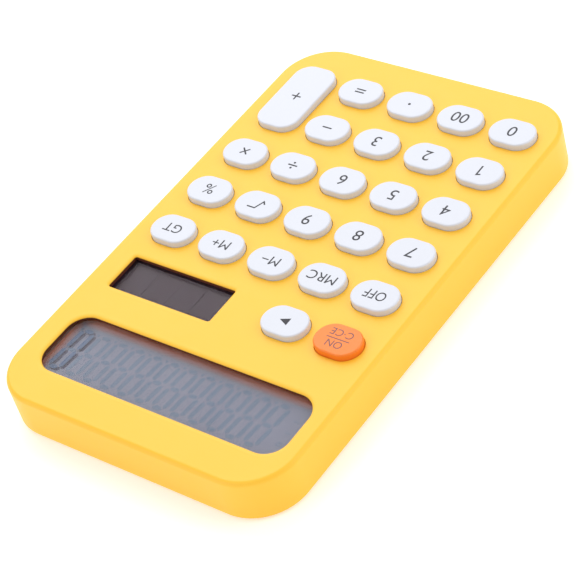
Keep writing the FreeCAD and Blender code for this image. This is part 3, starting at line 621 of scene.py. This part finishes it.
class Stamp:
    """A legend built from flat shapes, in millimetres about the key's middle."""

    def __init__(self):
        self.outlines = []

    def bar(self, x, y, length, thickness, turn=0.0):
        """A bar with slightly rounded ends, turned about its own middle."""
        corner = thickness * 0.12
        shape = rounded(length, thickness, corner, (0, 0), 3)
        cosine, sine = math.cos(math.radians(turn)), math.sin(math.radians(turn))
        self.outlines.append([(x + cosine * a - sine * b, y + sine * a + cosine * b) for a, b in shape])

    def dot(self, x, y, radius):
        self.outlines.append(disc(radius, (x, y), 20))

    def polygon(self, points):
        self.outlines.append(points)

    def stroke(self, points, thickness):
        """A bent line of even thickness with mitred corners."""
        spots = [Vector(point) for point in points]
        runs = [(after - before).normalized() for before, after in zip(spots, spots[1:])]
        left = []
        right = []
        for number, spot in enumerate(spots):
            before = runs[max(number - 1, 0)]
            after = runs[min(number, len(runs) - 1)]
            along = (before + after).normalized()
            across = Vector((-along.y, along.x)) * thickness / 2 / along.dot(after)
            left.append(tuple(spot + across))
            right.append(tuple(spot - across))
        self.outlines.append(right + left[::-1])

    def solid(self, centre, z, thickness):
        skin = Skin()
        for outline in self.outlines:
            placed = [(centre[0] + x * MM, centre[1] + y * MM) for x, y in outline]
            lower = skin.ring(placed, z)
            upper = skin.ring(placed, z + thickness)
            skin.wall(lower, upper)
            skin.lid([lower], upward=False)
            skin.lid([upper])
        return skin


ink_thickness = 0.02 * MM
ink_depth = 0.008 * MM
CAP_HEIGHT = 0.7


def written(name, text, height, centre, z, stretch=1.0):
    """Generic lettering as a thin flat mesh, its capitals this many millimetres tall."""
    curve = bpy.data.curves.new(name, "FONT")
    curve.body = text
    curve.size = height * MM / CAP_HEIGHT
    curve.align_x = "CENTER"
    curve.resolution_u = 6
    curve.extrude = ink_thickness / 2
    maker = bpy.data.objects.new(name, curve)
    bpy.context.scene.collection.objects.link(maker)
    graph = bpy.context.evaluated_depsgraph_get()
    mesh = bpy.data.meshes.new_from_object(maker.evaluated_get(graph), depsgraph=graph)
    bpy.data.objects.remove(maker)
    xs = [v.co.x for v in mesh.vertices]
    middle = (min(xs) + max(xs)) / 2
    lift = z + ink_thickness / 2
    for vertex in mesh.vertices:
        x, y, dz = vertex.co
        vertex.co = (centre[0] + (x - middle) * stretch, centre[1] + y - height * MM / 2, lift + dz)
    return bpy.data.objects.new(name, mesh)


def one_sign():
    """The digit one, with its flag."""
    stamp = Stamp()
    stamp.stroke([(-1.15, 1.3), (0.0, 1.8), (0.0, -2.05)], 0.5)
    return stamp


def symbol(kind):
    """An arithmetic sign or arrow. No two bars overlap, so that each sign is a clean solid."""
    stamp = Stamp()
    reach = 3.3
    slant_reach = 3.4
    line = 0.5
    if kind in ("minus", "plus", "divide"):
        stamp.bar(0, 0, reach, line)
    if kind == "plus":
        for side in (1, -1):
            stamp.bar(0, side * (reach + line) / 4, (reach - line) / 2, line, 90)
    if kind == "divide":
        for side in (1, -1):
            stamp.dot(0, side * 1.15, 0.38)
    if kind == "multiply":
        stamp.bar(0, 0, slant_reach, line, 45)
        for side in (1, -1):
            offset = side * (slant_reach + line) / 4 / math.sqrt(2)
            stamp.bar(-offset, offset, (slant_reach - line) / 2, line, -45)
    if kind == "equals":
        for side in (1, -1):
            stamp.bar(0, side * 0.6, reach, line)
    if kind == "point":
        stamp.dot(0, 0, 0.45)
    if kind == "arrow":
        stamp.polygon([(-1.4, -1.35), (1.6, 0), (-1.4, 1.35)])
    return stamp


def root_sign():
    """The square root sign: one bent stroke."""
    stamp = Stamp()
    stamp.stroke([(-2.3, -0.45), (-1.4, -1.55), (-0.1, 1.65), (2.65, 1.65)], 0.46)
    return stamp


LETTERED = {
    "key_off": ("OFF", 3.3), "key_memory_recall": ("MRC", 3.3), "key_memory_minus": ("M\u2212", 3.3),
    "key_memory_plus": ("M+", 3.3), "key_grand_total": ("GT", 3.3), "key_percent": ("%", 3.9),
    "key_00": ("00", 4.1),
}
LETTERED.update({"key_%d" % digit: (str(digit), 4.1) for digit in range(10) if digit != 1})
SIGNS = {
    "key_erase_last": "arrow", "key_divide": "divide", "key_multiply": "multiply", "key_minus": "minus",
    "key_plus": "plus", "key_point": "point", "key_equals": "equals",
}


def make_legend(node):
    centre = plan(node)[1]
    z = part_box(node)[1].z - ink_depth
    name = "legend_" + node[4:]
    if node == "key_on_clear":
        upper = (centre[0], centre[1] + 2.0 * MM)
        lower = (centre[0], centre[1] - 2.15 * MM)
        rule = Stamp()
        rule.bar(0, 0, 7.4, 0.3)
        for part, text, spot in (("_upper", "ON", upper), ("_lower", "C·CE", lower)):
            settle(written(name + part, text, 2.4, spot, z), "plum_ink", node)
        rule.solid(centre, z, ink_thickness).piece(name + "_rule", "plum_ink", node, "key_orange")
    elif node in LETTERED:
        text, height = LETTERED[node]
        stretch = 0.87 if node == "key_off" else 1.0
        settle(written(name, text, height, centre, z, stretch), "grey_ink", node)
    else:
        drawn = {"key_root": root_sign, "key_1": one_sign}
        stamp = drawn[node]() if node in drawn else symbol(SIGNS[node])
        stamp.solid(centre, z, ink_thickness).piece(name, "grey_ink", node, "key_white")


# ---------------------------------------------------------------- display

DIGITS = 12
digit_pitch = 6.34 * MM
digit_size = (5.2 * MM, 16.2 * MM)
segment_width = 1.4 * MM
digit_slant = math.tan(math.radians(5))
first_digit_x = -36.0 * MM
segment_gap = 0.32 * MM
point_radius = 0.42 * MM
point_place = (0.55 * MM, 0.5 * MM)
mark_size = (1.8 * MM, 0.45 * MM)
mark_reach = 3.6 * MM
mark_pitch = 0.9 * MM
MARK_ROWS = ((0.78, 2), (0.5, 1), (0.24, 1))
ground_rise = 0.3 * MM
live_thickness = 0.01 * MM
shade_thickness = 0.06 * MM
idle_thickness = 0.04 * MM
shade_shift = (-0.8 * MM, 0.15 * MM)
SEGMENT_ENDS = {
    "top": ((0, 1), (1, 1)), "upper_left": ((0, 0.5), (0, 1)), "upper_right": ((1, 0.5), (1, 1)),
    "middle": ((0, 0.5), (1, 0.5)), "lower_left": ((0, 0), (0, 0.5)), "lower_right": ((1, 0), (1, 0.5)),
    "bottom": ((0, 0), (1, 0)),
}


def segment_outline(ends, corner):
    """One segment as a long hexagon between two corners of the digit's own grid."""
    half = segment_width / 2
    wide, tall = digit_size[0] - segment_width, digit_size[1] - segment_width
    (ax, ay), (bx, by) = [(half + u * wide, half + v * tall) for u, v in ends]
    shapes = []
    if ay == by:
        a, b = ax + segment_gap, bx - segment_gap
        shapes = [(a, ay), (a + half, ay - half), (b - half, ay - half), (b, ay), (b - half, ay + half),
                  (a + half, ay + half)]
    else:
        a, b = ay + segment_gap, by - segment_gap
        shapes = [(ax, a), (ax + half, a + half), (ax + half, b - half), (ax, b), (ax - half, b - half),
                  (ax - half, a + half)]
    return [(corner[0] + x + y * digit_slant, corner[1] + y) for x, y in shapes]


def flat_piece(name, outlines, z, thickness, finish, slot):
    skin = Skin()
    for outline in outlines:
        lower = skin.ring(outline, z)
        upper = skin.ring(outline, z + thickness)
        skin.wall(lower, upper)
        skin.lid([lower], upward=False)
        skin.lid([upper])
    return skin.piece(name, finish, CASE, slot)


def ground_top():
    """The height of the display's ground, a little below the live segments, so that they cast shadows."""
    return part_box("rear_reflector")[1].z + ground_rise


def make_segments():
    """Twelve slanted digits of seven segments, and small marks at their left.

    Only the last digit shows a nought, which casts a shade on the ground. The rest lie idle.
    """
    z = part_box("rear_glass")[1].z
    middle_y = plan("display_window")[1][1]
    live = []
    idle = []
    for number in range(DIGITS):
        corner = (first_digit_x + number * digit_pitch, middle_y - digit_size[1] / 2)
        for name, ends in SEGMENT_ENDS.items():
            outline = segment_outline(ends, corner)
            shown = number == DIGITS - 1 and name != "middle"
            (live if shown else idle).append(outline)
        point = (corner[0] + digit_size[0] + point_place[0], corner[1] + point_place[1])
        idle.append(disc(point_radius, point, 16))
    left = first_digit_x - mark_reach
    for level, strokes in MARK_ROWS:
        y = middle_y - digit_size[1] / 2 + level * digit_size[1]
        for stroke in range(strokes):
            idle.append(rounded(*mark_size, 0.1 * MM, (left, y - stroke * mark_pitch), 3))
    ground = ground_top()
    shades = [[(x + shade_shift[0], y + shade_shift[1]) for x, y in outline] for outline in live]
    flat_piece("segments_live", live, z, live_thickness, "live_segment", "reflector")
    flat_piece("segments_shade", shades, ground, shade_thickness, "cast_shade", "reflector")
    flat_piece("segments_idle", idle, ground, idle_thickness, "idle_segment", "reflector")


def make_plate(name, finish, slot, size, corner, centre, low, high, edge, replaced):
    """A flat plate with lightly rounded edges."""
    skin = Skin()
    lower = round_over(size, corner, centre, edge, low, turn=-1, steps=3)
    upper = round_over(size, corner, centre, edge, high, steps=3)
    rings = [skin.ring(outline, z) for outline, z in list(reversed(lower)) + upper]
    skin.walls(rings)
    skin.lid([rings[0]], upward=False)
    skin.lid([rings[-1]])
    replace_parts(skin.piece(name, finish, CASE, slot), *replaced)


def make_display():
    size, centre = plan("display_window")
    low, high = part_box("display_window")
    make_plate("window", "clear_window", "clear_window", size, window_corner + window_glue, centre,
               low.z, high.z, 0.08 * MM, ["display_window"])
    size, centre = plan("front_glass")
    make_plate("front_plate", "polariser", "polariser", size, 0.3 * MM, centre,
               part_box("front_glass")[0].z + 0.02 * MM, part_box("front_polariser")[1].z, 0.05 * MM,
               ["front_polariser", "front_glass"])
    size, centre = plan("rear_glass")
    make_plate("rear_plate", "reflector", "reflector", size, 0.3 * MM, centre,
               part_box("rear_reflector")[0].z, ground_top(), 0.05 * MM, ["rear_glass", "rear_reflector"])
    make_segments()


cell_line = 0.22 * MM
cell_line_height = 0.06 * MM
cell_border = (1.6 * MM, 1.4 * MM)


def make_solar_film():
    """The four cells as one film, with the thin lines between them and round their edge."""
    size, centre = plan("solar_cells")
    low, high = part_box("solar_cells")
    top = high.z - cell_line_height
    make_plate("solar_film", "silicon", "silicon", size, part_play, centre, low.z, top, 0.02 * MM,
               ["solar_cells"])
    seen = (size[0] - 2 * solar_margin - cell_border[0], size[1] - solar_margin - cell_border[1])
    columns = [centre[0] + column * seen[0] / 4 for column in (-2, -1, 0, 1, 2)]
    rows = [centre[1] + side * seen[1] / 2 for side in (-1, 1)]
    corner = cell_line / 4
    lines = [rounded(cell_line, seen[1] - cell_line, corner, (x, centre[1]), 2) for x in columns]
    lines += [rounded(seen[0] + cell_line, cell_line, corner, (centre[0], y), 2) for y in rows]
    flat_piece("solar_lines", lines, top, cell_line_height, "cell_line", "silicon")


def finish_nodes():
    """Every node that stays as it is takes the finish that its slot names."""
    slots = {part["node"]: part["material_slot"] for part in frame["record"]["subparts"]}
    for name, node in frame["nodes"].items():
        node.data.materials.clear()
        node.data.materials.append(finishes[slots[name]])


# ---------------------------------------------------------------- stage, light and camera

paper_glow = 0.3
floor_reach = 3.0


def make_floor():
    """Plain white paper, whose faint glow keeps the ground white beside the case."""
    mesh = bpy.data.meshes.new("floor")
    corners = [(-floor_reach, -floor_reach, 0), (floor_reach, -floor_reach, 0),
               (floor_reach, floor_reach, 0), (-floor_reach, floor_reach, 0)]
    mesh.from_pydata(corners, [], [(0, 1, 2, 3)])
    floor = bpy.data.objects.new("floor", mesh)
    bpy.context.scene.collection.objects.link(floor)
    finish = Finish("floor_paper")
    fibre = finish.noise(2 * MM, detail=4.0)
    tint = finish.mix(fibre * 0.3, (0.93, 0.93, 0.93), (0.9, 0.9, 0.9))
    mesh.materials.append(finish.done(finish.principled(
        Base_Color=tint, Roughness=0.9, Emission_Color=(1, 1, 1, 1), Emission_Strength=paper_glow)))


def aim(thing, place, target, roll=0.0):
    """Stand a light or camera at a place and point it, turned about its own axis by roll degrees."""
    forward = (Vector(target) - Vector(place)).normalized()
    turn = forward.to_track_quat("-Z", "Y").to_matrix().to_4x4()
    thing.matrix_world = Matrix.Translation(place) @ turn @ Matrix.Rotation(math.radians(roll), 4, "Z")
    bpy.context.scene.collection.objects.link(thing)


def make_light(name, place, size, power):
    lamp = bpy.data.lights.new(name, "AREA")
    lamp.shape = "DISK"
    lamp.size = size
    lamp.energy = power
    aim(bpy.data.objects.new(name, lamp), place, (0, 0, 0))


def make_lights():
    world = bpy.data.worlds.new("soft_room")
    world.use_nodes = True
    background = world.node_tree.nodes["Background"]
    background.inputs["Color"].default_value = (1, 1, 1, 1)
    background.inputs["Strength"].default_value = 0.7
    bpy.context.scene.world = world
    make_light("far_softbox", (0.72, -0.66, 0.88), 1.4, 9.8)
    make_light("left_softbox", (-0.9, -0.6, 0.7), 1.0, 4.2)
    make_light("near_softbox", (0.45, 1.0, 0.6), 0.9, 2.4)


def make_camera():
    """The view from the display end and the user's left, with the frame tilted to stand the case up."""
    camera = bpy.data.cameras.new("camera")
    camera.sensor_width = 36.0
    camera.lens = 131.87
    camera.clip_start = 0.05
    viewer = bpy.data.objects.new("camera", camera)
    place = Vector((-0.33245, 0.30675, 0.4054))
    forward = Vector((0.5512, -0.4998, -0.6681))
    aim(viewer, place, place + forward, roll=-17.65)
    bpy.context.scene.camera = viewer


# ---------------------------------------------------------------- assembly

finish_nodes()
make_top_case()
for key in keys:
    make_keycap(key)
    make_legend(key)
make_display()
make_solar_film()
make_floor()
make_lights()
make_camera()
bpy.context.scene.view_settings.view_transform = "Standard"
